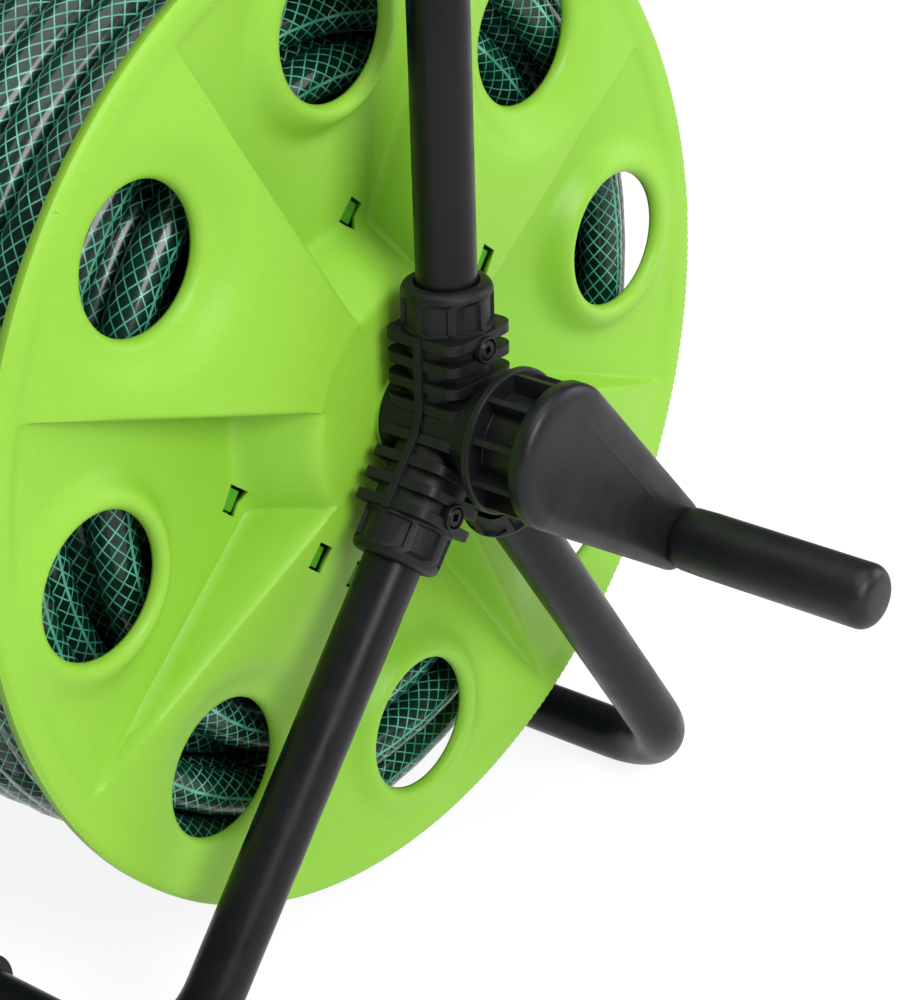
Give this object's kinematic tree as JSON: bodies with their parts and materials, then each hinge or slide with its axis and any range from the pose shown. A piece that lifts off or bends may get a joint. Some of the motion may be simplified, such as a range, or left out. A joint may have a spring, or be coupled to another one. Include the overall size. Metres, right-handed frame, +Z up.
{
  "type": "garden hose reel cart",
  "caption": "Garden hose reel on a bent tube A-frame with a crank, a push handle, a water inlet swivel and two small rear wheels, wound with garden hose.",
  "frame": {"origin": "on the ground, under the middle of the box around the cart without its free hose and the hose's end connector", "axes": "+Z up, +X along the reel's axle towards the crank, +Y towards the front foot and away from the wheels"},
  "size_m": [0.4953, 0.505, 0.8312],
  "materials": {
    "tube_paint": "satin black powder coat",
    "grip_foam": "matt",
    "black_moulding": "fine moulded texture, satin",
    "crank_moulding": "satin",
    "flange_green": "satin gloss, bright lime green",
    "drum_green": "satin gloss, bright lime green",
    "bush_white": "smooth",
    "steel": "zinc plated",
    "screw_black": "black oxide",
    "seal_rubber": "matt",
    "hose_green": "clear green outer layer over a mint knitted net",
    "fitting_orange": "satin",
    "tyre_black": "matt"
  },
  "bodies": {
    "frame": {"handle_tube": "tube_paint", "handle_sleeve": "grip_foam", "front_foot_tube": "tube_paint", "rear_foot_tube": "tube_paint", "hub_housing_crank_side": "black_moulding", "hub_housing_inlet_side": "black_moulding", "housing_screws": "screw_black", "crank_side_bush": "bush_white", "inlet_side_bush": "bush_white", "axle_bracket_left": "black_moulding", "axle_bracket_right": "black_moulding", "bracket_bolts": "steel", "wheel_axle": "steel", "axle_washers": "steel", "axle_caps": "black_moulding"},
    "reel": {"crank_side_flange": "flange_green", "inlet_side_flange": "flange_green", "drum_panel_1": "drum_green", "drum_panel_2": "drum_green", "thrust_washers": "flange_green", "crank_shaft": "steel", "crank_arm": "crank_moulding", "crank_lock_pin": "steel", "grip_pin": "steel", "grip_retaining_clip": "steel", "water_spindle": "black_moulding", "spindle_o_rings": "seal_rubber", "spindle_clip": "steel", "outlet_elbow": "black_moulding", "hose_clamp": "steel", "hose_coil": "hose_green", "connector_tail": "black_moulding", "connector_nut": "fitting_orange", "connector_body": "black_moulding", "connector_seal": "seal_rubber"},
    "crank_grip": {"grip_sleeve": "crank_moulding", "grip_end_cap": "crank_moulding"},
    "inlet": {"inlet_elbow": "black_moulding", "inlet_washer": "seal_rubber", "inlet_nipple": "fitting_orange"},
    "release_collar": {"connector_collar": "fitting_orange"},
    "left_wheel": {"wheel_left": "black_moulding", "tyre_left": "tyre_black"},
    "right_wheel": {"wheel_right": "black_moulding", "tyre_right": "tyre_black"}
  },
  "joints": [
    {"name": "reel_turn", "type": "hinge", "parent": "frame", "child": "reel", "pos_m": [-0.04075, 0.0575, 0.21625], "axis": [1, 0, 0], "continuous": true},
    {"name": "grip_spin", "type": "hinge", "parent": "reel", "child": "crank_grip", "pos_m": [0.20425, 0.13456, 0.15733], "axis": [1, 0, 0], "continuous": true},
    {"name": "inlet_swivel", "type": "hinge", "parent": "frame", "child": "inlet", "pos_m": [-0.23415, 0.0575, 0.21625], "axis": [1, 0, 0], "continuous": true},
    {"name": "left_wheel_spin", "type": "hinge", "parent": "frame", "child": "left_wheel", "pos_m": [-0.14975, -0.2005, 0.052], "axis": [1, 0, 0], "continuous": true},
    {"name": "right_wheel_spin", "type": "hinge", "parent": "frame", "child": "right_wheel", "pos_m": [0.06825, -0.2005, 0.052], "axis": [1, 0, 0], "continuous": true},
    {"name": "collar_slide", "type": "slide", "parent": "reel", "child": "release_collar", "axis": [0, 0.8829, -0.4695], "range_m": [0, 0.004], "stiffness_N_per_m": 400, "springref_m": -0.005}
  ]
}
